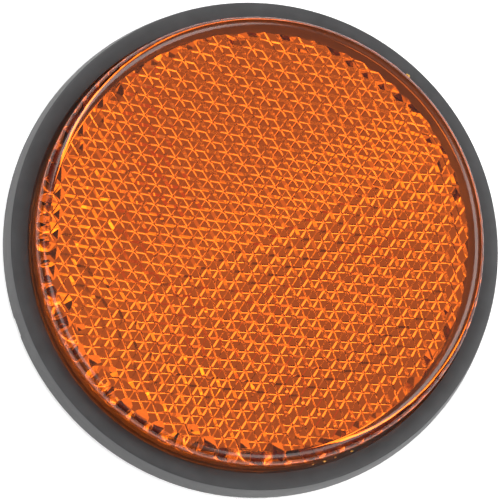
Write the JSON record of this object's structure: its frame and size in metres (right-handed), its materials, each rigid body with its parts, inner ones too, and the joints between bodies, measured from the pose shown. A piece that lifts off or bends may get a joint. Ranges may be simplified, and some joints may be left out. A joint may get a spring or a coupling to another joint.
{
  "type": "adhesive reflector",
  "caption": "Round stick-on reflector: amber corner-cube lens standing proud of a black plastic dish, with a foam tape disc on its flat back.",
  "frame": {"origin": "centre of the foam tape's outer face, at the bottom of the object", "axes": "+Z out of the lens along the round body's axis; the line between the two halves of the prism field runs 25 degrees from +X towards +Y"},
  "size_m": [0.0612, 0.0612, 0.0098],
  "materials": {
    "housing": "moulded black plastic with a faint fine grain",
    "lens": "clear amber moulded acrylic, polished, with corner-cube prisms on its back",
    "adhesive_pad": "grey closed-cell foam tape with a tacky skin"
  },
  "bodies": {
    "root": {"housing": "housing", "lens": "lens", "adhesive_pad": "adhesive_pad"}
  },
  "joints": []
}
